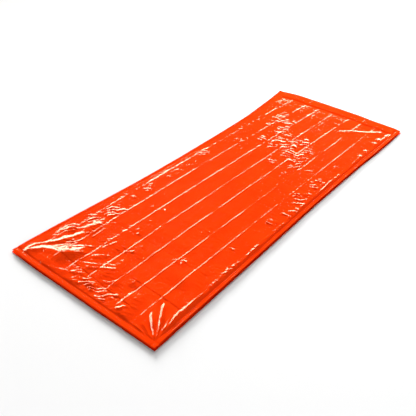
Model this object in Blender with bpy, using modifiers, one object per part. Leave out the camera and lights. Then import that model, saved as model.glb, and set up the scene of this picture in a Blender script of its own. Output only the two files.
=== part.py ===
"""Emergency sleeping bag of thin plastic film, unpacked and laid flat.

Two film panels are welded together along both long sides and across the foot.  Outside
the welds the films end in free lips, and at the mouth the upper film has a flat hem.
Units are metres, +Z is up, +X points along the bag from foot to mouth, and the origin is
on the floor under the middle of the bag.
"""
import math

import bmesh
import bpy

BAG_NAME = "emergency_sleeping_bag"

# Driving dimensions
FILM_THICKNESS = 0.001
FILM_GAP = 0.0004           # clearance that the two films keep along the weld
LOFT_HEIGHT = 0.0145        # height of the upper film's panels above the floor
WELD_HEIGHT = 0.003         # the lower film's underside rises this far to meet the weld
WELD_SLOPE = 0.017          # width of the slope from a weld up to the full loft
LIP_CREST = 0.013           # distance outside the weld at which the upper lip is highest
LIP_CREST_HEIGHT = 0.0125
LIP_EDGE = 0.026            # distance outside the weld at which the lip height below holds
LIP_EDGE_HEIGHT = 0.0105
LOWER_LIP_WIDTH = 0.017     # distance outside the weld where the lower lip is back on the floor

# Distance of each weld from the outline, and of the upper film's own edge from it
WELD_INSET = {"left": 0.020, "right": 0.025, "foot": 0.030}
UPPER_EDGE_INSET = {"left": 0.001, "right": 0.004, "foot": 0.003, "mouth": 0.001}

# Outline of the long sides: how the bag waists between its two ends
SIDE_COLUMNS = ("x", "left_y", "right_y")
SIDE_OUTLINE = (
    (-1.065, 0.435, -0.435),
    (-0.830, 0.422, -0.433),
    (-0.580, 0.406, -0.430),
    (-0.200, 0.387, -0.425),
    (0.130, 0.382, -0.421),
    (0.520, 0.384, -0.423),
    (0.850, 0.407, -0.432),
    (1.065, 0.432, -0.431),
)

# Outline of the two short ends
END_COLUMNS = ("y", "foot_x", "mouth_x")
END_OUTLINE = (
    (-0.435, -1.048, 1.052),
    (-0.240, -1.053, 1.054),
    (-0.150, -1.056, 1.0635),
    (0.050, -1.060, 1.065),
    (0.280, -1.065, 1.064),
    (0.435, -1.064, 1.044),
)

# Lengthwise pack folds, from the right side to the left: the y of each at three stations
FOLD_STATIONS = (-0.79, 0.0, 0.77)
LENGTHWISE_FOLDS = (
    (-0.279, -0.283, -0.293),
    (-0.173, -0.190, -0.202),
    (-0.070, -0.083, -0.109),
    (0.040, 0.022, -0.003),
    (0.147, 0.127, 0.098),
    (0.249, 0.235, 0.198),
    (0.352, 0.332, 0.301),
)
FOLD_HALF_WIDTH = 0.012
FOLD_RISE = 0.0016
PANEL_SAG = 0.0006          # the film dips this far halfway between two folds

# Crosswise pack folds: where each lies, the stretch it crosses and how far it lifts the film
CROSS_COLUMNS = ("x", "low_y", "high_y", "rise")
CROSS_FOLDS = (
    (-0.941, -0.33, 0.27, -0.0014),
    (-0.839, -0.36, -0.10, -0.0012),
    (-0.736, 0.00, 0.34, 0.0012),
    (-0.633, -0.36, 0.34, 0.0010),
    (-0.423, -0.36, 0.32, 0.0008),
    (-0.267, 0.16, 0.33, 0.0009),
    (-0.164, -0.37, -0.26, 0.0010),
    (0.002, -0.36, 0.10, 0.0008),
    (0.156, -0.36, -0.05, 0.0010),
)
CROSS_HALF_WIDTH = 0.020

# Pleats that fan out of the corners.  Headings are in degrees from +X towards +Y
PLEAT_COLUMNS = ("x", "y", "heading", "reach", "rise", "end_width")
PLEATS = (
    (-1.044, 0.400, -25, 0.30, 0.0034, 0.045),
    (-1.044, 0.400, -42, 0.36, 0.0036, 0.050),
    (-1.044, 0.400, -58, 0.56, 0.0026, 0.045),
    (-1.044, 0.400, -73, 0.38, 0.0020, 0.040),
    (-1.025, -0.406, 76, 0.16, 0.0020, 0.025),
    (-1.025, -0.406, 53, 0.20, 0.0030, 0.030),
    (-1.025, -0.406, 31, 0.25, 0.0030, 0.035),
    (1.000, -0.392, 128, 0.37, 0.0042, 0.030),
    (0.985, 0.372, 207, 0.22, 0.0026, 0.030),
)
PLEAT_START_WIDTH = 0.010

# Hem of the upper film at the mouth, as an offset from the panel's height
HEM_PROFILE = (
    (0.000, -0.0020),
    (0.012, -0.0005),
    (0.070, 0.0008),
    (0.098, -0.0020),
    (0.137, 0.0),
)

# Spacing of the grid that the folds are laid on, before it is thinned out
GRID_STEP = 0.012
PANEL_STRIPS = 9            # strips between two lengthwise folds, about a fold half-width each
LEFT_RIM_STRIPS = 3         # strips between the last fold and the left rim
LOWER_STRIPS = 12           # strips between the lower film's rims
UPPER_KEPT = 0.13           # share of the grid's triangles kept after thinning
LOWER_KEPT = 0.11

FILM_COLOUR = (0.93, 0.062, 0.006, 1.0)
FILM_ROUGHNESS = 0.22


def column(table, columns, name):
    """One named column of a table."""
    index = columns.index(name)
    return [row[index] for row in table]


def slope_at(stations, values, i):
    """Slope of the curve at a station; it is level at a turning point, so nothing overshoots."""
    last = len(stations) - 1
    runs = [(k, k + 1) for k in (i - 1, i) if 0 <= k < last]
    secants = [(values[high] - values[low]) / (stations[high] - stations[low]) for low, high in runs]
    before, after = secants[0], secants[-1]
    if before * after <= 0:
        return 0.0
    return 2 * before * after / (before + after)


def curve_through(stations, values, at):
    """Smooth curve through the given points, held level past both ends."""
    if at <= stations[0]:
        return values[0]
    if at >= stations[-1]:
        return values[-1]
    k = max(i for i in range(len(stations) - 1) if stations[i] <= at)
    span = stations[k + 1] - stations[k]
    rise = span * slope_at(stations, values, k)
    fall = span * slope_at(stations, values, k + 1)
    t = (at - stations[k]) / span
    start = values[k] * (1 + 2 * t) * (1 - t) ** 2 + rise * t * (1 - t) ** 2
    end = values[k + 1] * t * t * (3 - 2 * t) + fall * t * t * (t - 1)
    return start + end


def line_through(points, at):
    """Straight runs through (station, value) points, held level past both ends."""
    if at <= points[0][0]:
        return points[0][1]
    for (low, low_value), (high, high_value) in zip(points, points[1:]):
        if at <= high:
            return low_value + (high_value - low_value) * (at - low) / (high - low)
    return points[-1][1]


def side_y(side, x):
    stations = column(SIDE_OUTLINE, SIDE_COLUMNS, "x")
    return curve_through(stations, column(SIDE_OUTLINE, SIDE_COLUMNS, side + "_y"), x)


def end_x(end, y):
    stations = column(END_OUTLINE, END_COLUMNS, "y")
    return curve_through(stations, column(END_OUTLINE, END_COLUMNS, end + "_x"), y)


def fold_y(index, x):
    """The y of a lengthwise fold, on a parabola through its three stations."""
    first, middle, last = LENGTHWISE_FOLDS[index]
    t = (x - FOLD_STATIONS[0]) / (FOLD_STATIONS[2] - FOLD_STATIONS[0])
    bow = middle - (first + last) / 2
    return first + (last - first) * t + 4 * bow * t * (1 - t)


def depth_inside_weld(x, y):
    """Distance from the nearest weld, positive inside the bag and negative on the lips."""
    return min(
        side_y("left", x) - y - WELD_INSET["left"],
        y - side_y("right", x) - WELD_INSET["right"],
        x - end_x("foot", y) - WELD_INSET["foot"],
    )


def fold_height(x, y):
    """What the lengthwise folds and the sag between them add."""
    folds = [fold_y(index, x) for index in range(len(LENGTHWISE_FOLDS))]
    nearest = min(abs(y - fold) for fold in folds)
    crest = FOLD_RISE * max(0.0, 1 - nearest / FOLD_HALF_WIDTH)
    half_panel = (folds[-1] - folds[0]) / (len(folds) - 1) / 2
    sag = PANEL_SAG * min(1.0, nearest / half_panel)
    return crest - sag


def cross_height(x, y):
    """What the crosswise folds add."""
    total = 0.0
    for row in CROSS_FOLDS:
        fold = dict(zip(CROSS_COLUMNS, row))
        if fold["low_y"] <= y <= fold["high_y"]:
            total += fold["rise"] * max(0.0, 1 - abs(x - fold["x"]) / CROSS_HALF_WIDTH)
    return total


def pleat_height(x, y):
    """What the corner pleats add: ridges that widen and then fade with distance."""
    total = 0.0
    for row in PLEATS:
        pleat = dict(zip(PLEAT_COLUMNS, row))
        heading = math.radians(pleat["heading"])
        dx, dy = x - pleat["x"], y - pleat["y"]
        along = (dx * math.cos(heading) + dy * math.sin(heading)) / pleat["reach"]
        aside = abs(dy * math.cos(heading) - dx * math.sin(heading))
        if 0 < along < 1:
            width = PLEAT_START_WIDTH + (pleat["end_width"] - PLEAT_START_WIDTH) * along
            total += pleat["rise"] * math.sin(math.pi * along ** 0.6) * max(0.0, 1 - aside / width)
    return total


def upper_height(x, y):
    """Height of the upper film's top surface."""
    weld_top = WELD_HEIGHT + FILM_THICKNESS + FILM_GAP + FILM_THICKNESS
    depth = depth_inside_weld(x, y)
    if depth <= 0:
        lip = ((0.0, weld_top), (LIP_CREST, LIP_CREST_HEIGHT), (LIP_EDGE, LIP_EDGE_HEIGHT))
        return line_through(lip, -depth)
    hem = line_through(HEM_PROFILE, end_x("mouth", y) - x)
    panel = LOFT_HEIGHT + hem + fold_height(x, y) + cross_height(x, y) + pleat_height(x, y)
    return line_through(((0.0, weld_top), (WELD_SLOPE, panel)), depth)


def lower_height(x, y):
    """Height of the lower film's underside: on the floor except where it meets the weld."""
    depth = depth_inside_weld(x, y)
    if depth <= 0:
        return line_through(((0.0, WELD_HEIGHT), (LOWER_LIP_WIDTH, 0.0)), -depth)
    return line_through(((0.0, WELD_HEIGHT), (WELD_SLOPE, 0.0)), depth)


def between(low, high, share):
    """The line that runs this share of the way from one line to the next."""
    return lambda at: low(at) + (high(at) - low(at)) * share


def lines_across(edge_inset):
    """Grid lines across the bag, from foot to mouth, as functions giving x for a y."""
    weld = WELD_INSET["foot"]
    from_foot = (edge_inset["foot"], weld - LIP_CREST, weld, weld + WELD_SLOPE)
    foot = [lambda y, d=d: end_x("foot", y) + d for d in from_foot]
    from_mouth = [distance for distance, _ in reversed(HEM_PROFILE)]
    from_mouth[-1] = edge_inset["mouth"]
    mouth = [lambda y, d=d: end_x("mouth", y) - d for d in from_mouth]
    steps = round((mouth[0](0.0) - foot[-1](0.0)) / GRID_STEP)
    middle = [between(foot[-1], mouth[0], i / steps) for i in range(1, steps)]
    return foot + middle + mouth


def rim_lines(edge_inset, side):
    """Grid lines that follow one long side, from its edge to the top of the weld's slope."""
    weld = WELD_INSET[side]
    inwards = 1 if side == "right" else -1
    distances = (edge_inset[side], weld - LIP_CREST, weld, weld + WELD_SLOPE)
    return [lambda x, d=d: side_y(side, x) + inwards * d for d in distances]


def upper_lines_along():
    """Grid lines along the bag for the upper film, from its right side to its left."""
    right = rim_lines(UPPER_EDGE_INSET, "right")
    left = list(reversed(rim_lines(UPPER_EDGE_INSET, "left")))
    folds = [lambda x, k=k: fold_y(k, x) for k in range(len(LENGTHWISE_FOLDS))]
    panels = list(zip([right[-1]] + folds, folds + [left[0]]))
    inner = []
    for low, high in panels:
        strips = LEFT_RIM_STRIPS if high is left[0] else PANEL_STRIPS
        inner += [between(low, high, i / strips) for i in range(1, strips + 1)]
    return right + inner + left[1:]


def lower_lines_along():
    """Grid lines along the bag for the lower film, which is flat between its rims."""
    on_outline = {"left": 0.0, "right": 0.0}
    right = rim_lines(on_outline, "right")
    left = list(reversed(rim_lines(on_outline, "left")))
    inner = [between(right[-1], left[0], i / LOWER_STRIPS) for i in range(1, LOWER_STRIPS)]
    return right + inner + left


def crossing(x_line, y_line):
    """Where a line across the bag meets a line along it."""
    x, y = x_line(0.0), 0.0
    for _ in range(3):
        y = y_line(x)
        x = x_line(y)
    return x, y


def film_material(name):
    material = bpy.data.materials.new(name)
    material.use_nodes = True
    shader = material.node_tree.nodes["Principled BSDF"]
    shader.inputs["Base Color"].default_value = FILM_COLOUR
    shader.inputs["Roughness"].default_value = FILM_ROUGHNESS
    shader.inputs["Metallic"].default_value = 0.0
    return material


def film(name, x_lines, y_lines, height, share_kept, thicken_upwards, collection):
    """A film panel: a grid moved onto its lines and heights, thinned out, then thickened."""
    mesh = bpy.data.meshes.new(name)
    grid = bmesh.new()
    columns, rows = len(x_lines) - 1, len(y_lines) - 1
    bmesh.ops.create_grid(grid, x_segments=columns, y_segments=rows, size=0.5)
    for vertex in grid.verts:
        x_line = x_lines[round((vertex.co.x + 0.5) * columns)]
        y_line = y_lines[round((vertex.co.y + 0.5) * rows)]
        x, y = crossing(x_line, y_line)
        vertex.co = (x, y, height(x, y))
    grid.to_mesh(mesh)
    grid.free()
    mesh.materials.append(film_material(name))
    panel = bpy.data.objects.new(name, mesh)
    collection.objects.link(panel)
    thin_out = panel.modifiers.new("thin_out", "DECIMATE")
    thin_out.ratio = share_kept
    thickness = panel.modifiers.new("thickness", "SOLIDIFY")
    thickness.thickness = FILM_THICKNESS
    thickness.offset = 1.0 if thicken_upwards else -1.0
    return panel


def build_bag():
    for old in list(bpy.data.objects):
        bpy.data.objects.remove(old)
    collection = bpy.data.collections.new(BAG_NAME)
    bpy.context.scene.collection.children.link(collection)
    film("top_film", lines_across(UPPER_EDGE_INSET), upper_lines_along(),
         upper_height, UPPER_KEPT, False, collection)
    film("bottom_film", lines_across({"foot": 0.0, "mouth": 0.0}), lower_lines_along(),
         lower_height, LOWER_KEPT, True, collection)


build_bag()
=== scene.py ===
"""Looks of the emergency sleeping bag: creased glossy film, floor, light and camera.

Metres, in the CAD model's frame: +X from foot to mouth, +Y to the left, +Z up.
"""
import math

import bpy
import numpy as np
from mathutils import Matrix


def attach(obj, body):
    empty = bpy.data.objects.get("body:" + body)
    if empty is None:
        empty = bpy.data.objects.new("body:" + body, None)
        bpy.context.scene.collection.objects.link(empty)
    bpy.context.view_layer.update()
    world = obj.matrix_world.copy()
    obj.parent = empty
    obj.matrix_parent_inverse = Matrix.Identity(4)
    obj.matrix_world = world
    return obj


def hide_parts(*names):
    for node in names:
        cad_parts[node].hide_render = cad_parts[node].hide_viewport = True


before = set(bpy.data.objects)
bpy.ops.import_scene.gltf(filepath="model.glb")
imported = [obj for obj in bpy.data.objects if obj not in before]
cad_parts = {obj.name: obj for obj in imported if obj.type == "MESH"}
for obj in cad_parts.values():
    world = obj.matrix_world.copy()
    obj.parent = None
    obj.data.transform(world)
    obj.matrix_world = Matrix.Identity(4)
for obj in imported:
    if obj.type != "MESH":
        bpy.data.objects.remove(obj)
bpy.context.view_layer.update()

# ---------------------------------------------------------------- sizes shared with the CAD
# How far each film's edge lies inside the outline
UPPER_EDGE_INSET = {"left": 0.001, "right": 0.004, "foot": 0.003, "mouth": 0.001}
LOWER_EDGE_INSET = {"left": 0.0, "right": 0.0, "foot": 0.0, "mouth": 0.0}
LOFT_HEIGHT = 0.0145         # of the upper film, away from its rims

# The outline: y of both long sides along the bag, and x of both ends across it
SIDE_COLUMNS = ("x", "left_y", "right_y")
SIDE_OUTLINE = np.array((
    (-1.065, 0.435, -0.435),
    (-0.830, 0.422, -0.433),
    (-0.580, 0.406, -0.430),
    (-0.200, 0.387, -0.425),
    (0.130, 0.382, -0.421),
    (0.520, 0.384, -0.423),
    (0.850, 0.407, -0.432),
    (1.065, 0.432, -0.431),
))
END_COLUMNS = ("y", "foot_x", "mouth_x")
END_OUTLINE = np.array((
    (-0.435, -1.048, 1.052),
    (-0.240, -1.053, 1.054),
    (-0.150, -1.056, 1.0635),
    (0.050, -1.060, 1.065),
    (0.280, -1.065, 1.064),
    (0.435, -1.064, 1.044),
))
# y of each lengthwise pack fold at three stations along the bag, from the right to the left
FOLD_STATIONS = (-0.79, 0.0, 0.77)
LENGTHWISE_FOLDS = (
    (-0.279, -0.283, -0.293),
    (-0.173, -0.190, -0.202),
    (-0.070, -0.083, -0.109),
    (0.040, 0.022, -0.003),
    (0.147, 0.127, 0.098),
    (0.249, 0.235, 0.198),
    (0.352, 0.332, 0.301),
)

# ---------------------------------------------------------------- how the films are meshed
FILM_SKIN = 0.0004           # thickness of the visible film
# Spacing of each film's grid, and about how many triangles are left of it once thinned out
UPPER_GRID, UPPER_TRIANGLES = 0.0025, 94000
LOWER_GRID, LOWER_TRIANGLES = 0.010, 12000
SHARP_ANGLE = 50             # degrees between faces from which an edge shows as sharp

# ---------------------------------------------------------------- rims and hem
# Height across each rim of the upper film, against distance from the bag's outline
RIMS = {
    "right": np.array((
        (0.004, 0.0114),
        (0.006, 0.0124),
        (0.008, 0.0127),
        (0.012, 0.0119),
        (0.021, 0.0116),
        (0.024, 0.0106),
        (0.032, 0.0146),
        (0.039, 0.0150),
        (0.056, 0.0148),
        (0.072, LOFT_HEIGHT),
    )),
    "left": np.array((
        (0.001, 0.0160),
        (0.006, 0.0155),
        (0.017, 0.0131),
        (0.020, 0.0129),
        (0.024, 0.0132),
        (0.050, 0.0134),
        (0.150, LOFT_HEIGHT),
    )),
    "foot": np.array((
        (0.0030, 0.0108),
        (0.0060, 0.0114),
        (0.0160, 0.0119),
        (0.0285, 0.0105),
        (0.0305, 0.0106),
        (0.0360, 0.0128),
        (0.0600, 0.0142),
        (0.1100, 0.0150),
        (0.1600, LOFT_HEIGHT),
    )),
}
# How far in from the outline the panel's creases set in, and are at full height
CREASES_FROM = {"right": (0.026, 0.040), "left": (0.022, 0.062), "foot": (0.030, 0.046)}
# The same for the fans of creases, which start at the welds
FANS_FROM = {"right": (0.018, 0.027), "left": (0.018, 0.028), "foot": (0.020, 0.029)}
# A shallow cone at three of the welds' corners, under which the panel stays
CONE_COLUMNS = ("x", "y", "height", "slope")
CORNER_CONES = (
    (-1.035, 0.405, 0.0118, 0.050),
    (-1.022, -0.405, 0.0108, 0.036),
    (1.010, -0.400, 0.0118, 0.030),
)
# Height of the lower film's underside, against distance from its outer edge
LOWER_RIM = np.array((
    (0.000, 0.0012),
    (0.008, 0.0006),
    (0.016, 0.0012),
    (0.024, 0.0030),
    (0.032, 0.0012),
    (0.040, 0.0),
))
# Hem at the mouth: offset from the loft, against distance from the mouth's edge
HEM = np.array((
    (0.000, 0.0016),
    (0.030, 0.0013),
    (0.062, 0.0010),
    (0.065, 0.0010),
    (0.077, -0.0036),
    (0.092, -0.0032),
    (0.130, -0.0020),
    (0.200, 0.0),
))
HEM_WANDER = {"size": 0.003, "cell": 0.045, "seed": 97}
LIP_WAVES = (
    {"size": 1.0, "cell": 0.070, "seed": 95},
    {"size": 0.5, "cell": 0.026, "seed": 96},
)
LIP_WAVE_HEIGHT = 0.0007
LIP_WAVE_REACH = (0.004, 0.020)        # they fade out over this distance from the outline

# ---------------------------------------------------------------- lengthwise pack folds
# Rise of the folds along the bag, and each fold's share of it, from the right to the left
FOLD_RISE = np.array((
    (-1.00, 0.0004),
    (-0.94, 0.0013),
    (-0.50, 0.0012),
    (0.00, 0.0011),
    (0.45, 0.0010),
    (0.92, 0.0008),
    (1.05, 0.0004),
))
FOLD_SHARES = (1.25, 1.3, 1.15, 1.05, 1.0, 0.95, 0.6)
FOLD_CROWDING = 0.55         # how far the mesh lines draw together at each fold
FOLD_LEFT_WIDTH = 0.0038     # the left flank is steep, the right one slack
FOLD_RIGHT_WIDTH = 0.014
FOLD_SHARPNESS = 1.3         # 1 is a straight flank; more is steeper towards the ridge
FOLD_WANDER = {"size": 0.0010, "cell": 0.11, "seed": 40}
FOLD_UNEVENNESS = {"size": 0.42, "cell": 0.13, "seed": 60}
SECOND_FOLD_UNEVENNESS = {"size": 0.42, "cell": 0.13, "seed": 70}
SECOND_FOLD_SHARE = 0.45     # a weaker fold beside each, where the stack was creased twice
SECOND_FOLD_GAP = np.array((
    (-1.05, 0.010),
    (-0.60, 0.012),
    (0.20, 0.018),
    (1.05, 0.020),
))
SECOND_FOLD_STRENGTH = np.array((
    (-1.00, 1.0),
    (-0.60, 0.3),
    (0.10, 0.3),
    (0.35, 1.0),
    (0.90, 1.0),
))

# ---------------------------------------------------------------- facets and placed creases
# Depth of the broad flat facets along the bag: the film is most rumpled at the foot
FACET_DEPTH = np.array((
    (-1.05, 0.0042),
    (-0.84, 0.0036),
    (-0.45, 0.0007),
    (1.05, 0.0005),
))
FACET_CELL, FACET_SEED = 0.055, 7
DENT_HEIGHT, DENT_CELL, DENT_SEED = 0.0004, 0.03, 6     # small flat ones all over
SWELL = {"size": 0.0006, "cell": 0.16, "seed": 5}       # slow and rounded

# Each crease has its points (m), its rise and the widths of its left and right flanks, as
# seen along the points (mm); a negative rise is a trough
CREASE_SHARPNESS = 1.15
CREASE_SHAPE = {"start": 0.2, "end": 0.7}
FAN_SHAPE = {"start": 0.55, "end": 0.80, "fan": True}
CROSS_FOLD_SHAPE = {"start": 0.08, "end": 0.9}
FAN_LEAST_WIDTH = 0.1        # share of its width with which a ray of a fan starts
NEAR_LEFT_FAN = (
    (((-1.036, 0.394), (-1.007, 0.366), (-0.963, 0.330), (-0.945, 0.286), (-0.934, 0.236),
      (-0.903, 0.199), (-0.848, 0.145)), 12.0, 58, 58),
    (((-1.030, 0.398), (-0.968, 0.380), (-0.926, 0.349), (-0.890, 0.317), (-0.852, 0.301),
      (-0.809, 0.289), (-0.760, 0.262)), 5.0, 20, 30),
)
NEAR_RIGHT_FAN = (
    (((-1.028, -0.408), (-1.030, -0.360), (-1.028, -0.310)), 1.5, 8, 3.5),
    (((-1.026, -0.410), (-1.020, -0.350), (-1.010, -0.285)), 2.4, 10, 5),
    (((-1.025, -0.411), (-1.006, -0.360), (-0.985, -0.305)), 3.2, 14, 7),
    (((-1.024, -0.411), (-0.987, -0.371), (-0.957, -0.335), (-0.925, -0.297)), 6.4, 11, 14),
    (((-1.021, -0.411), (-0.954, -0.373), (-0.915, -0.347), (-0.850, -0.300)), 8.4, 13, 17),
    (((-1.012, -0.410), (-0.955, -0.396), (-0.890, -0.372)), 2.4, 6, 8),
    (((-1.008, -0.411), (-0.916, -0.398), (-0.860, -0.388), (-0.790, -0.386)), 4.0, 9, 14),
)
NEAR_CREASES = (
    (((-0.928, 0.304), (-0.880, 0.262), (-0.821, 0.220)), 1.6, 9, 5),
    (((-0.920, 0.275), (-0.885, 0.240), (-0.841, 0.209)), 1.6, 9, 5),
    (((-0.926, 0.249), (-0.890, 0.205), (-0.847, 0.165)), 1.6, 9, 5),
    (((-0.878, 0.239), (-0.840, 0.198), (-0.803, 0.155)), 1.8, 9, 6),
    (((-0.900, 0.300), (-0.850, 0.260), (-0.800, 0.235)), 1.8, 9, 7),
    (((-0.866, 0.136), (-0.826, 0.093), (-0.799, 0.052)), 2.0, 7, 18),
    (((-1.006, 0.209), (-0.979, 0.205), (-0.949, 0.176), (-0.918, 0.135), (-0.896, 0.095),
      (-0.851, 0.029), (-0.824, -0.021), (-0.815, -0.062)), 1.6, 5, 30),
    (((-1.040, 0.330), (-1.032, 0.279), (-1.020, 0.212), (-0.984, 0.126), (-0.956, 0.071),
      (-0.948, 0.028)), 1.5, 5, 22),
    (((-0.933, 0.117), (-0.918, 0.081), (-0.890, 0.049), (-0.861, -0.004), (-0.836, -0.046)),
     2.4, 9, 14),
    (((-0.938, -0.017), (-0.928, -0.046), (-0.894, -0.074)), 1.6, 5, 16),
    (((-1.014, 0.065), (-0.990, 0.030), (-0.962, -0.005), (-0.985, -0.027)), 1.6, 5, 9),
    (((-0.791, -0.287), (-0.837, -0.340)), -0.8, 5, 5),
    (((-0.773, -0.300), (-0.840, -0.352)), -0.8, 5, 5),
    (((-0.763, -0.327), (-0.830, -0.363)), -0.8, 5, 5),
    (((-0.915, -0.398), (-0.870, -0.388), (-0.838, -0.384)), 4.0, 11, 8),
    (((-0.835, -0.389), (-0.770, -0.390), (-0.700, -0.393)), 3.0, 8, 6),
    (((-0.677, -0.396), (-0.665, -0.380), (-0.660, -0.368)), 2.4, 9, 7),
    (((-0.565, -0.392), (-0.550, -0.380), (-0.540, -0.362)), 2.4, 9, 7),
    (((-0.450, -0.392), (-0.390, -0.391), (-0.320, -0.389)), 2.6, 7, 6),
    (((-0.764, 0.345), (-0.722, 0.340), (-0.671, 0.332)), 1.6, 7, 12),
    (((-0.771, 0.318), (-0.740, 0.298), (-0.709, 0.278), (-0.657, 0.268)), 2.0, 8, 14),
    (((-0.790, 0.225), (-0.726, 0.226), (-0.680, 0.222)), 1.4, 5, 10),
    (((-0.810, 0.135), (-0.775, 0.128), (-0.711, 0.105)), 2.2, 9, 12),
    (((-0.630, 0.293), (-0.605, 0.272), (-0.580, 0.262)), 2.0, 10, 12),
    (((-0.565, 0.285), (-0.540, 0.262), (-0.528, 0.240)), 2.0, 10, 12),
)
FAR_CREASES = (
    (((0.775, -0.113), (0.823, -0.171), (0.858, -0.213), (0.905, -0.285), (0.945, -0.334),
      (1.006, -0.397)), 2.0, 11, 30),
    (((0.840, 0.300), (0.898, 0.333), (0.944, 0.350)), 1.5, 10, 14),
    (((0.628, 0.326), (0.706, 0.306), (0.800, 0.302), (0.866, 0.312)), 1.0, 7, 16),
    (((0.610, -0.390), (0.632, -0.384), (0.655, -0.372)), 2.6, 12, 8),
    (((0.672, -0.390), (0.695, -0.382), (0.716, -0.368)), 2.6, 12, 8),
    (((0.770, -0.390), (0.800, -0.386), (0.830, -0.378)), 2.4, 12, 8),
    (((0.838, -0.388), (0.860, -0.382), (0.880, -0.372)), 2.2, 11, 8),
    (((0.180, -0.386), (0.260, -0.384), (0.330, -0.378)), 1.8, 9, 7),
)

# Crosswise pack folds: a thin line where the film dips and comes up again
CROSS_FOLDS = (
    (((-0.930, 0.330), (-0.941, 0.230), (-0.943, 0.134), (-0.948, 0.028), (-0.955, -0.087),
      (-0.965, -0.260)), -1.8, 5, 16),
    (((-0.845, -0.090), (-0.845, -0.277), (-0.847, -0.400)), -1.6, 5, 14),
    (((-0.740, 0.340), (-0.738, 0.100), (-0.736, -0.020)), -0.8, 4, 12),
    (((-0.636, 0.340), (-0.633, 0.000), (-0.640, -0.360)), -0.7, 4, 12),
    (((-0.425, 0.340), (-0.425, 0.000), (-0.425, -0.370)), -0.6, 4, 12),
    (((0.160, -0.050), (0.150, -0.200), (0.153, -0.370)), -0.7, 4, 12),
    (((0.010, -0.100), (0.000, -0.250)), -0.6, 4, 12),
)

# The panel's uneven crest along the right rim
CREST_HEIGHT = 0.0022
CREST_INSET = 0.040          # from the outline
CREST_LEFT_WIDTH = 0.006
CREST_RIGHT_WIDTH = 0.005
CREST_MEAN = 0.55
CREST_UNEVENNESS = {"size": 0.75, "cell": 0.034, "seed": 90}
CREST_WANDER = {"size": 0.003, "cell": 0.060, "seed": 91}

# ---------------------------------------------------------------- short wrinkles
# They lie side by side on two slants across the bag (degrees from +X), and each slant's
# noise has seeds from its own number up
RIPPLE_SLANTS = ((-46.0, 30), (-74.0, 35))
RIPPLE_PITCH = 0.020
RIPPLE_GROWTH = 0.28         # how much wider they get in each metre towards the mouth
RIPPLE_FAR_SIDE = 0.42       # share of the pitch that their steeper far side takes up
RIPPLE_RISE = 1.5            # height against the steepness below, as the mesh rounds them off
RIPPLE_BEND = {"size": 0.008, "cell": 0.040, "seed": 0}
RIPPLE_DRIFT = {"size": 0.6, "cell": 0.022, "seed": 3}       # of their phase, in pitches
RIPPLE_SIZES = {"size": 0.5, "cell": 0.014, "seed": 1}
RIPPLE_SIZE_MEAN = 0.5
RIPPLE_SIZE_STRETCH = 0.80   # the smaller, the longer a wrinkle keeps one size
RIPPLE_ROW_STEP = 0.024      # far enough apart in the noise that each has sizes of its own
THREAD_WIDTH = 0.008         # fine creases among them, where a noise is near zero
THREAD_RISE = 0.5
THREAD_LEVEL = 0.65
THREAD_STRETCH = 0.35
THREAD_SEED = 2
SLANT_CELL, SLANT_SEED, SLANT_BLEND = 0.09, 26, 0.35    # where either slant prevails
RIPPLE_STEEPNESS = np.array((      # slope of their flanks along the bag
    (-1.00, 0.36),
    (-0.60, 0.38),
    (-0.20, 0.38),
    (0.15, 0.33),
    (0.50, 0.24),
    (0.90, 0.20),
))
RIPPLE_CALM = np.array((           # how much of them there is between the fields
    (-1.00, 0.30),
    (-0.60, 0.30),
    (-0.30, 0.22),
    (0.15, 0.24),
    (0.40, 0.34),
    (0.75, 0.32),
    (0.95, 0.22),
))
RIPPLE_FREE_MOUTH = (0.080, 0.120)  # none on the hem; at full height this far from the mouth
RIPPLE_PATCHES = {"size": 0.45, "cell": 0.045, "seed": 25}
RIPPLE_PATCH_MEAN = 0.8
SMOOTH_FADE = (0.7, 1.2)           # shares of a spot's radius
SMOOTH_COLUMNS = ("x", "y", "radius")
SMOOTH_SPOTS = (                   # stretched film without wrinkles
    (-0.960, -0.355, 0.130),
    (-0.975, 0.255, 0.085),
    (-1.000, 0.340, 0.060),
    (-0.970, 0.385, 0.060),
)
FIELD_FADE = (0.6, 1.35)           # shares of a field's reach
RIPPLE_COLUMNS = ("x", "y", "reach_x", "reach_y", "strength")
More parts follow.
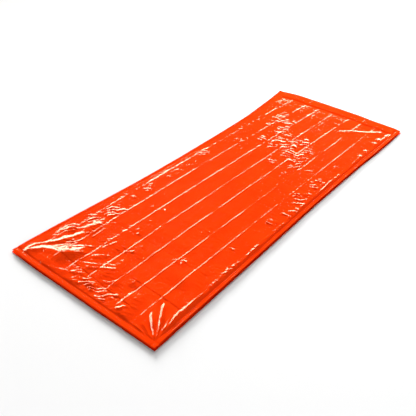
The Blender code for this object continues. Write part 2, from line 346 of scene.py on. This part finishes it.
RIPPLE_FIELDS = (
    (0.680, 0.215, 0.120, 0.040, 1.1),
    (0.683, 0.143, 0.070, 0.050, 1.5),
    (0.585, 0.115, 0.065, 0.036, 1.3),
    (0.430, 0.142, 0.080, 0.030, 0.8),
    (0.480, 0.050, 0.110, 0.040, 1.4),
    (0.480, -0.020, 0.080, 0.040, 1.4),
    (0.400, -0.060, 0.066, 0.040, 1.2),
    (0.556, -0.060, 0.050, 0.036, 1.3),
    (0.300, -0.040, 0.050, 0.034, 1.0),
    (0.430, -0.140, 0.080, 0.044, 1.3),
    (0.330, -0.250, 0.050, 0.030, 0.8),
    (0.340, -0.130, 0.060, 0.040, 1.3),
    (0.282, -0.165, 0.050, 0.034, 1.1),
    (0.219, -0.158, 0.024, 0.026, 0.9),
    (0.100, -0.345, 0.060, 0.045, 1.4),
    (0.030, -0.360, 0.040, 0.030, 1.4),
    (0.250, -0.340, 0.060, 0.034, 1.2),
    (-0.020, -0.370, 0.040, 0.024, 1.4),
    (-0.087, -0.360, 0.026, 0.026, 1.1),
    (-0.165, -0.340, 0.026, 0.034, 1.0),
    (0.436, -0.340, 0.030, 0.024, 1.1),
    (0.860, 0.153, 0.035, 0.014, 0.8),
    (0.860, 0.030, 0.060, 0.045, 0.7),
    (0.820, -0.018, 0.045, 0.014, 0.8),
    (0.900, -0.090, 0.045, 0.035, 0.7),
    (-0.990, 0.020, 0.046, 0.070, 1.5),
    (-0.985, -0.095, 0.044, 0.060, 1.5),
    (-0.985, -0.240, 0.040, 0.070, 1.2),
    (-0.960, 0.110, 0.030, 0.040, 1.0),
    (-0.745, 0.055, 0.022, 0.036, 1.0),
    (-0.725, 0.018, 0.034, 0.014, 1.0),
    (-0.725, 0.345, 0.120, 0.030, 0.9),
    (-0.840, 0.372, 0.090, 0.012, 0.8),
    (-0.730, 0.275, 0.060, 0.040, 0.8),
    (-0.560, 0.290, 0.060, 0.050, 0.8),
    (-0.490, 0.350, 0.060, 0.014, 0.6),
    (-0.430, 0.280, 0.020, 0.050, 0.8),
    (-0.870, 0.230, 0.075, 0.075, 0.8),
    (-0.630, 0.076, 0.016, 0.014, 0.9),
    (-0.610, 0.190, 0.020, 0.016, 0.9),
    (-0.640, -0.190, 0.024, 0.050, 0.9),
    (-0.430, -0.325, 0.022, 0.030, 1.0),
    (-0.430, -0.150, 0.030, 0.030, 0.8),
    (-0.330, 0.300, 0.040, 0.030, 0.8),
    (-0.150, 0.290, 0.050, 0.030, 0.8),
    (0.110, 0.315, 0.060, 0.030, 0.8),
    (0.330, 0.250, 0.040, 0.030, 0.8),
    (0.260, 0.110, 0.030, 0.016, 0.8),
    (-0.590, -0.388, 0.120, 0.012, 1.0),
    (-0.380, -0.390, 0.060, 0.010, 0.9),
    (-0.190, -0.388, 0.060, 0.010, 0.9),
    (0.640, -0.378, 0.026, 0.014, 1.1),
    (0.700, -0.374, 0.022, 0.012, 1.1),
    (0.800, -0.371, 0.018, 0.012, 1.1),
    (0.860, -0.373, 0.018, 0.012, 1.1),
)

# ---------------------------------------------------------------- noise
LATTICE_SIZE = 512           # cells after which the noise repeats
FACET_WARP = 0.45            # how far the facets' corners are shifted, in cells
FACET_WARP_CELL = 1.7        # cell size of that shift, in cells

# ---------------------------------------------------------------- looks, studio and camera
FILM_ROUGHNESS = 0.07
FILM_IOR = 1.5
# Scale (features in a metre) and layers of detail of each noise, and the bump's depth
TINT_SCALE, TINT_DETAIL = 9.0, 4.0
TINT_STOPS = (
    (0.35, (0.94, 0.040, 0.0004, 1.0)),
    (0.65, (0.96, 0.046, 0.0007, 1.0)),
)
CRINKLE_SCALE, CRINKLE_DETAIL, CRINKLE_DEPTH = 60.0, 3.0, 0.0008
FLOOR_COLOUR = (0.82, 0.82, 0.82, 1.0)
FLOOR_ROUGHNESS = 0.9
FLOOR_SPECULAR = 0.1
FLOOR_SIZE = 60.0
FLOOR_GAP = 0.0005           # the floor lies this far below the bag, so that they don't mix

# Name, azimuth, elevation, distance, width, height, radiance
SOFTBOXES = (
    ("low_back_strip", 45, 10.3, 18.0, 32.0, 4.6, 12.0),
    ("left_back_box", 71, 22.5, 18.0, 15.0, 3.6, 11.0),
    ("left_box", 99, 31, 18.0, 7.0, 4.4, 15.0),
)
WARM_WHITE = (1.0, 0.93, 0.68)
# Name, azimuth, elevation, angle across, strength
SUNS = (
    ("low_key", 50, 12.5, 15.0, 7.2),
    ("back_key", 54, 30, 34.0, 1.7),
    ("top_fill", 40, 70, 60.0, 0.30),
    ("front_fill", 235, 10, 30.0, 2.4),
)
SUN_DISTANCE = 3.0           # only where its marker stands
# Name, place, size, irradiance
NEAR_PANEL = ("mouth_end_panel", (2.6, 0.7, 1.7), 1.2, 1.4)
WORLD_STRENGTH = 0.03

SENSOR_WIDTH = 36.0
FOCAL_LENGTH = 48.03
CAMERA_PLACE = (-1.918, -1.420, 1.647)
CAMERA_DOWN = 37.21          # degrees below the horizon
CAMERA_TURN = -49.99         # degrees from +Y, where positive is towards -X


# ---------------------------------------------------------------- curves and noise
def curve(table, at, column=1):
    """Smooth curve through a table's points that never overshoots, level past the ends."""
    stations, values = table[:, 0], table[:, column]
    secants = np.diff(values) / np.diff(stations)
    slopes = np.concatenate((secants[:1], np.zeros(len(values) - 2), secants[-1:]))
    before, after = secants[:-1], secants[1:]
    turning = before * after <= 0
    total = np.where(turning, 1.0, before + after)
    slopes[1:-1] = np.where(turning, 0.0, 2 * before * after / total)
    at = np.clip(at, stations[0], stations[-1])
    k = np.clip(np.searchsorted(stations, at, side="right") - 1, 0, len(stations) - 2)
    span = stations[k + 1] - stations[k]
    t = (at - stations[k]) / span
    start = values[k] * (1 + 2 * t) * (1 - t) ** 2 + slopes[k] * span * t * (1 - t) ** 2
    end = values[k + 1] * t * t * (3 - 2 * t) + slopes[k + 1] * span * t * t * (t - 1)
    return start + end


def smooth_step(low, high, at):
    """0 below low, 1 above high, and a smooth rise between them."""
    t = np.clip((at - low) / (high - low), 0.0, 1.0)
    return t * t * (3 - 2 * t)


def lattice(x, y, cell, seed):
    """Corner values of a seeded random lattice, and the place within its cell."""
    rng = np.random.default_rng(seed)
    values = rng.uniform(-1.0, 1.0, (LATTICE_SIZE, LATTICE_SIZE))
    u, v = x / cell, y / cell
    i, j = np.floor(u).astype(int), np.floor(v).astype(int)
    s, t = u - i, v - j
    corners = [values[(i + a) % LATTICE_SIZE, (j + b) % LATTICE_SIZE]
               for a in (0, 1) for b in (0, 1)]
    return corners, s, t


def soft_noise(x, y, cell, seed):
    """Rounded noise from -1 to 1."""
    (v00, v01, v10, v11), s, t = lattice(x, y, cell, seed)
    s, t = s * s * (3 - 2 * s), t * t * (3 - 2 * t)
    return (v00 * (1 - s) + v10 * s) * (1 - t) + (v01 * (1 - s) + v11 * s) * t


def facet_noise(x, y, cell, seed):
    """Noise made of flat triangles, as in crumpled film, from -1 to 1."""
    warp, warp_cell = cell * FACET_WARP, cell * FACET_WARP_CELL
    bent_x = x + warp * soft_noise(x, y, warp_cell, seed + 1)
    bent_y = y + warp * soft_noise(x, y, warp_cell, seed + 2)
    (v00, v01, v10, v11), s, t = lattice(bent_x, bent_y, cell, seed)
    lower = v00 + (v10 - v00) * s + (v11 - v10) * t
    upper = v00 + (v11 - v01) * s + (v01 - v00) * t
    return np.where(s > t, lower, upper)


def swing(noise, x, y, seed_shift=0):
    """Rounded noise with the size, cell and seed of a table's entry."""
    return noise["size"] * soft_noise(x, y, noise["cell"], noise["seed"] + seed_shift)


def swing_along(noise, at, seed_shift=0):
    """The same along one direction alone."""
    return swing(noise, at, np.zeros_like(at), seed_shift)


# ---------------------------------------------------------------- the bag's plan
def side_y(side, x):
    return curve(SIDE_OUTLINE, x, SIDE_COLUMNS.index(side + "_y"))


def end_x(end, y):
    return curve(END_OUTLINE, y, END_COLUMNS.index(end + "_x"))


def insets(x, y):
    """How far each place is inside the three welded edges."""
    return {
        "right": y - side_y("right", x),
        "left": side_y("left", x) - y,
        "foot": x - end_x("foot", y),
    }


def inset_share(ramps, x, y):
    """Product of the three edges' ramps: 0 near an edge, 1 well inside all of them."""
    share = 1.0
    for edge, inset in insets(x, y).items():
        share = share * smooth_step(*ramps[edge], inset)
    return share


def fold_y(index, x):
    """y of a lengthwise fold, a slightly bowed line through its three points."""
    first, middle, last = LENGTHWISE_FOLDS[index]
    t = (x - FOLD_STATIONS[0]) / (FOLD_STATIONS[2] - FOLD_STATIONS[0])
    bow = middle - (first + last) / 2
    return first + (last - first) * t + 4 * bow * t * (1 - t)


# ---------------------------------------------------------------- creases
def crease(x, y, z, points, rise, left, right, start, end, fan=False):
    """Adds a ridge along a line of points to the heights z.

    left and right are the widths of its two flanks, seen along the line. It rises up to start,
    and sinks again from end, both as shares of its length. One of a fan widens as it rises.
    """
    points = np.asarray(points, dtype=float)
    reach = max(left, right)
    low, high = points.min(axis=0) - reach, points.max(axis=0) + reach
    near = np.flatnonzero((x > low[0]) & (x < high[0]) & (y > low[1]) & (y < high[1]))
    px, py = x[near], y[near]
    steps = np.diff(points, axis=0)
    lengths = np.hypot(steps[:, 0], steps[:, 1])
    total = lengths.sum()
    best = np.full(len(near), np.inf)
    side, along = np.zeros(len(near)), np.zeros(len(near))
    before = 0.0
    for (ax, ay), (dx, dy), length in zip(points[:-1], steps, lengths):
        raw = ((px - ax) * dx + (py - ay) * dy) / length ** 2
        t = np.clip(raw, 0.0, 1.0)
        off_x, off_y = px - ax - t * dx, py - ay - t * dy
        distance = np.hypot(off_x, off_y)
        closer = distance < best
        best = np.where(closer, distance, best)
        side = np.where(closer, dx * off_y - dy * off_x, side)
        along = np.where(closer, (before + t * length) / total, along)
        before += length
    growth = np.clip(along / start, 0.0, 1.0)
    width = np.where(side > 0, left, right)
    if fan:
        width = width * np.maximum(growth, FAN_LEAST_WIDTH)
    envelope = growth * (1 - smooth_step(end, 1.0, along))
    z[near] += rise * envelope * np.clip(1 - best / width, 0.0, 1.0) ** CREASE_SHARPNESS


def creases(x, y, *tables):
    """Height of every crease of some tables, each given with the shape of its creases."""
    flat_x, flat_y = x.ravel(), y.ravel()
    total = np.zeros_like(flat_x)
    for rows, shape in tables:
        for points, rise, left, right in rows:
            crease(flat_x, flat_y, total, points, rise / 1000, left / 1000, right / 1000,
                   **shape)
    return total.reshape(x.shape)


def placed_creases(x, y):
    return creases(x, y, (NEAR_CREASES + FAR_CREASES, CREASE_SHAPE),
                   (CROSS_FOLDS, CROSS_FOLD_SHAPE))


def corner_fans(x, y):
    """The creases that spread from the two corners at the foot, narrow at the corner."""
    return creases(x, y, (NEAR_LEFT_FAN + NEAR_RIGHT_FAN, FAN_SHAPE))


def lengthwise_folds(x, y):
    total = np.zeros_like(x)
    rise = curve(FOLD_RISE, x)
    gap = curve(SECOND_FOLD_GAP, x)
    second = SECOND_FOLD_SHARE * curve(SECOND_FOLD_STRENGTH, x)
    for index, fold_share in enumerate(FOLD_SHARES):
        distance = y - fold_y(index, x) - swing_along(FOLD_WANDER, x, index)
        for unevenness, shift, share in ((FOLD_UNEVENNESS, 0.0, 1.0),
                                         (SECOND_FOLD_UNEVENNESS, gap, second)):
            off = distance + shift
            width = np.where(off > 0, FOLD_LEFT_WIDTH, FOLD_RIGHT_WIDTH)
            strength = 1.0 + swing_along(unevenness, x, index)
            ridge = np.clip(1 - np.abs(off) / width, 0.0, 1.0) ** FOLD_SHARPNESS
            total += rise * fold_share * share * strength * ridge
    return total


def right_crest(x, y):
    """The panel's uneven crest along the right rim."""
    strength = CREST_MEAN + swing_along(CREST_UNEVENNESS, x)
    off = insets(x, y)["right"] - CREST_INSET - swing_along(CREST_WANDER, x)
    width = np.where(off > 0, CREST_LEFT_WIDTH, CREST_RIGHT_WIDTH)
    ridge = np.clip(1 - np.abs(off) / width, 0.0, 1.0)
    return CREST_HEIGHT * np.clip(strength, 0.0, 1.0) * ridge


# ---------------------------------------------------------------- short wrinkles
def ripple_strength(x, y):
    """How strong the short wrinkles are at each place."""
    strength = curve(RIPPLE_CALM, x)
    for row in RIPPLE_FIELDS:
        field = dict(zip(RIPPLE_COLUMNS, row))
        away = np.hypot((x - field["x"]) / field["reach_x"], (y - field["y"]) / field["reach_y"])
        share = 1 - smooth_step(*FIELD_FADE, away)
        strength = np.maximum(strength, field["strength"] * share)
    for row in SMOOTH_SPOTS:
        spot = dict(zip(SMOOTH_COLUMNS, row))
        away = np.hypot(x - spot["x"], y - spot["y"])
        core, edge = (part * spot["radius"] for part in SMOOTH_FADE)
        strength = strength * smooth_step(core, edge, away)
    strength = strength * smooth_step(*RIPPLE_FREE_MOUTH, end_x("mouth", y) - x)
    return strength * (RIPPLE_PATCH_MEAN + swing(RIPPLE_PATCHES, x, y))


def ripples(x, y):
    """Short wrinkles that lie side by side on two slants, steeper on their far side."""
    strength = curve(RIPPLE_STEEPNESS, x) * ripple_strength(x, y)
    first = smooth_step(-SLANT_BLEND, SLANT_BLEND, soft_noise(x, y, SLANT_CELL, SLANT_SEED))
    scale = 1 + RIPPLE_GROWTH * (x + 1)
    x, y = np.log(scale) / RIPPLE_GROWTH, y / scale
    height = np.zeros_like(x)
    for (slant, seed), part in zip(RIPPLE_SLANTS, (first, 1 - first)):
        heading = math.radians(slant)
        along = x * math.cos(heading) + y * math.sin(heading)
        across = y * math.cos(heading) - x * math.sin(heading)
        across = across + swing(RIPPLE_BEND, x, y, seed)
        phase = across / RIPPLE_PITCH + swing(RIPPLE_DRIFT, x, y, seed)
        rising = (phase - np.floor(phase)) / (1 - RIPPLE_FAR_SIDE)
        falling = (np.ceil(phase) - phase) / RIPPLE_FAR_SIDE
        row = RIPPLE_ROW_STEP * np.floor(phase)
        size = RIPPLE_SIZE_MEAN + swing(RIPPLE_SIZES, along * RIPPLE_SIZE_STRETCH, row, seed)
        wave = RIPPLE_FAR_SIDE * RIPPLE_PITCH * size * np.minimum(rising, falling)
        thread = soft_noise(along * THREAD_STRETCH, across, THREAD_WIDTH, seed + THREAD_SEED)
        slim = THREAD_LEVEL - np.abs(thread)
        height += part * (RIPPLE_RISE * wave + THREAD_RISE * THREAD_WIDTH * slim)
    return strength * scale * height


# ---------------------------------------------------------------- heights of the films
def corner_cones(x, y):
    """Height of the lowest of the corners' cones."""
    cones = [dict(zip(CONE_COLUMNS, row)) for row in CORNER_CONES]
    return np.minimum.reduce([cone["height"] + cone["slope"] * np.hypot(x - cone["x"],
                                                                        y - cone["y"])
                              for cone in cones])


def rim_height(x, y):
    """The film's height from its three welded rims and the cones at the corners alone."""
    rims = [curve(RIMS[edge], inset) for edge, inset in insets(x, y).items()]
    return np.minimum.reduce(rims + [corner_cones(x, y)])


def lip_waves(x, y):
    """The free lips are a little wavy at their edges."""
    inset = np.minimum.reduce(list(insets(x, y).values()))
    waves = sum(swing(noise, x, y) for noise in LIP_WAVES)
    return LIP_WAVE_HEIGHT * waves * (1 - smooth_step(*LIP_WAVE_REACH, inset))


def upper_height(x, y):
    from_mouth = end_x("mouth", y) - x + swing_along(HEM_WANDER, y)
    panel = curve(HEM, from_mouth) + lengthwise_folds(x, y)
    panel = panel + swing(SWELL, x, y)
    panel = panel + DENT_HEIGHT * facet_noise(x, y, DENT_CELL, DENT_SEED)
    panel = panel + curve(FACET_DEPTH, x) * facet_noise(x, y, FACET_CELL, FACET_SEED)
    panel = panel + placed_creases(x, y) + ripples(x, y)
    panel = panel + right_crest(x, y)
    height = rim_height(x, y) + inset_share(CREASES_FROM, x, y) * panel + lip_waves(x, y)
    return height + inset_share(FANS_FROM, x, y) * corner_fans(x, y)


def lower_height(x, y):
    return curve(LOWER_RIM, np.minimum.reduce(list(insets(x, y).values())))


# ---------------------------------------------------------------- meshes
def lines_along(x, inset, spacing):
    """y of each grid line that runs along the bag, for each station x; folds lie on lines."""
    right = side_y("right", x) + inset["right"]
    left = side_y("left", x) - inset["left"]
    folds = [fold_y(k, x) for k in range(len(LENGTHWISE_FOLDS))]
    bounds = [right] + folds + [left]
    rows = [right]
    for low, high in zip(bounds, bounds[1:]):
        strips = max(2, round(float(np.mean(high - low)) / spacing))
        share = np.arange(1, strips + 1) / strips
        share = share - FOLD_CROWDING * np.sin(2 * math.pi * share) / (2 * math.pi)
        rows += [low + (high - low) * t for t in share]
    return np.array(rows).T


def film(name, inset, spacing, height, triangles, grow_up):
    """A film as a fine grid over the bag's plan, thinned out where it is calm.

    Its thickness is added above the grid with grow_up, and below it without.
    """
    start = END_OUTLINE[:, END_COLUMNS.index("foot_x")].min()
    span = END_OUTLINE[:, END_COLUMNS.index("mouth_x")].max() - start
    share = np.linspace(0.0, 1.0, round(span / spacing) + 1)
    y = lines_along(start + span * share, inset, spacing)
    foot, mouth = end_x("foot", y) + inset["foot"], end_x("mouth", y) - inset["mouth"]
    x = foot + (mouth - foot) * share[:, None]
    z = height(x, y)
    rows, columns = x.shape
    vertices = np.stack((x, y, z), axis=-1).reshape(-1, 3)
    index = np.arange(rows * columns).reshape(rows, columns)
    faces = np.stack((index[:-1, :-1], index[1:, :-1], index[1:, 1:], index[:-1, 1:]),
                     axis=-1).reshape(-1, 4)
    mesh = bpy.data.meshes.new(name)
    mesh.from_pydata(vertices.tolist(), [], faces.tolist())
    piece = bpy.data.objects.new(name, mesh)
    bpy.context.scene.collection.objects.link(piece)
    thin_out = piece.modifiers.new("thin_out", "DECIMATE")
    thin_out.ratio = triangles / (2 * len(faces))
    thickness = piece.modifiers.new("thickness", "SOLIDIFY")
    thickness.thickness = FILM_SKIN
    thickness.offset = 1.0 if grow_up else -1.0
    finished = bpy.data.meshes.new_from_object(
        piece.evaluated_get(bpy.context.evaluated_depsgraph_get()))
    piece.modifiers.clear()
    piece.data = finished
    finished.shade_smooth()
    finished.set_sharp_from_angle(angle=math.radians(SHARP_ANGLE))
    return piece


# ---------------------------------------------------------------- materials
def noise_node(nodes, links, place, scale, detail):
    """A noise texture in the piece's own coordinates, in metres."""
    noise = nodes.new("ShaderNodeTexNoise")
    noise.inputs["Scale"].default_value = scale
    noise.inputs["Detail"].default_value = detail
    links.new(place.outputs["Object"], noise.inputs["Vector"])
    return noise


def film_material(name):
    """Glossy orange film: a slightly uneven colour, and a crinkle too shallow for the mesh."""
    material = bpy.data.materials.new(name)
    material.use_nodes = True
    nodes, links = material.node_tree.nodes, material.node_tree.links
    shader = nodes["Principled BSDF"]
    shader.inputs["Roughness"].default_value = FILM_ROUGHNESS
    shader.inputs["IOR"].default_value = FILM_IOR
    place = nodes.new("ShaderNodeTexCoord")

    tint = noise_node(nodes, links, place, TINT_SCALE, TINT_DETAIL)
    ramp = nodes.new("ShaderNodeValToRGB")
    for stop, (position, colour) in zip(ramp.color_ramp.elements, TINT_STOPS):
        stop.position = position
        stop.color = colour
    links.new(tint.outputs["Fac"], ramp.inputs["Fac"])
    links.new(ramp.outputs["Color"], shader.inputs["Base Color"])

    crinkle = noise_node(nodes, links, place, CRINKLE_SCALE, CRINKLE_DETAIL)
    bump = nodes.new("ShaderNodeBump")
    bump.inputs["Strength"].default_value = 1.0
    bump.inputs["Distance"].default_value = CRINKLE_DEPTH
    links.new(crinkle.outputs["Fac"], bump.inputs["Height"])
    links.new(bump.outputs["Normal"], shader.inputs["Normal"])
    return material


def floor_material():
    material = bpy.data.materials.new("pale_floor")
    material.use_nodes = True
    shader = material.node_tree.nodes["Principled BSDF"]
    shader.inputs["Base Color"].default_value = FLOOR_COLOUR
    shader.inputs["Roughness"].default_value = FLOOR_ROUGHNESS
    shader.inputs["Specular IOR Level"].default_value = FLOOR_SPECULAR
    return material


# ---------------------------------------------------------------- studio
def aimed(name, light, azimuth, elevation, distance):
    """Places a light so that it faces the bag; azimuth is from +X towards +Y."""
    lamp = bpy.data.objects.new(name, light)
    a, e = math.radians(azimuth), math.radians(elevation)
    lamp.location = (distance * math.cos(e) * math.cos(a),
                     distance * math.cos(e) * math.sin(a), distance * math.sin(e))
    lamp.rotation_euler = lamp.location.to_track_quat("Z", "Y").to_euler()
    bpy.context.scene.collection.objects.link(lamp)
    return lamp


def softbox(name, azimuth, elevation, distance, width, height, radiance):
    """A panel that shows only as glints in the film."""
    light = bpy.data.lights.new(name, "AREA")
    light.color = WARM_WHITE
    light.shape = "RECTANGLE"
    light.size = width
    light.size_y = height
    light.energy = radiance * math.pi * width * height
    aimed(name, light, azimuth, elevation, distance).visible_diffuse = False


def sun(name, azimuth, elevation, angle, strength):
    """A distant disc of light, angle degrees across, that gives form but no glints."""
    light = bpy.data.lights.new(name, "SUN")
    light.angle = math.radians(angle)
    light.energy = strength
    aimed(name, light, azimuth, elevation, SUN_DISTANCE).visible_glossy = False


def near_panel(name, location, size, irradiance):
    """A panel so close that its light falls off along the bag; it gives no glints.

    irradiance is what reaches the floor at the middle of the bag.
    """
    light = bpy.data.lights.new(name, "AREA")
    light.size = size
    lamp = bpy.data.objects.new(name, light)
    lamp.location = location
    lamp.rotation_euler = lamp.location.to_track_quat("Z", "Y").to_euler()
    lamp.visible_glossy = False
    distance = lamp.location.length
    light.energy = irradiance * math.pi * distance ** 3 / location[2]
    bpy.context.scene.collection.objects.link(lamp)


def studio():
    bpy.ops.mesh.primitive_plane_add(size=FLOOR_SIZE, location=(0.0, 0.0, -FLOOR_GAP))
    floor = bpy.context.object
    floor.name = "floor"
    floor.data.materials.append(floor_material())

    for row in SOFTBOXES:
        softbox(*row)
    for row in SUNS:
        sun(*row)
    near_panel(*NEAR_PANEL)

    world = bpy.data.worlds.new("studio")
    world.use_nodes = True
    background = world.node_tree.nodes["Background"]
    background.inputs["Color"].default_value = (1.0, 1.0, 1.0, 1.0)
    background.inputs["Strength"].default_value = WORLD_STRENGTH
    bpy.context.scene.world = world
    bpy.context.scene.view_settings.view_transform = "Standard"


def camera():
    """The camera stands where the photo was taken from, and looks down at the bag."""
    lens = bpy.data.cameras.new("camera")
    lens.sensor_width = SENSOR_WIDTH
    lens.lens = FOCAL_LENGTH
    eye = bpy.data.objects.new("camera", lens)
    eye.location = CAMERA_PLACE
    eye.rotation_euler = (math.radians(90 - CAMERA_DOWN), 0.0, math.radians(CAMERA_TURN))
    bpy.context.scene.collection.objects.link(eye)
    bpy.context.scene.camera = eye


# ---------------------------------------------------------------- build
def build():
    upper = film("upper_film", UPPER_EDGE_INSET, UPPER_GRID, upper_height, UPPER_TRIANGLES,
                 grow_up=False)
    lower = film("lower_film", LOWER_EDGE_INSET, LOWER_GRID, lower_height, LOWER_TRIANGLES,
                 grow_up=True)

    upper.data.materials.append(film_material("orange_film_upper"))
    lower.data.materials.append(film_material("orange_film_lower"))
    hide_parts("top_film")
    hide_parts("bottom_film")
    for piece in (upper, lower):
        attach(piece, "root")


build()
studio()
camera()
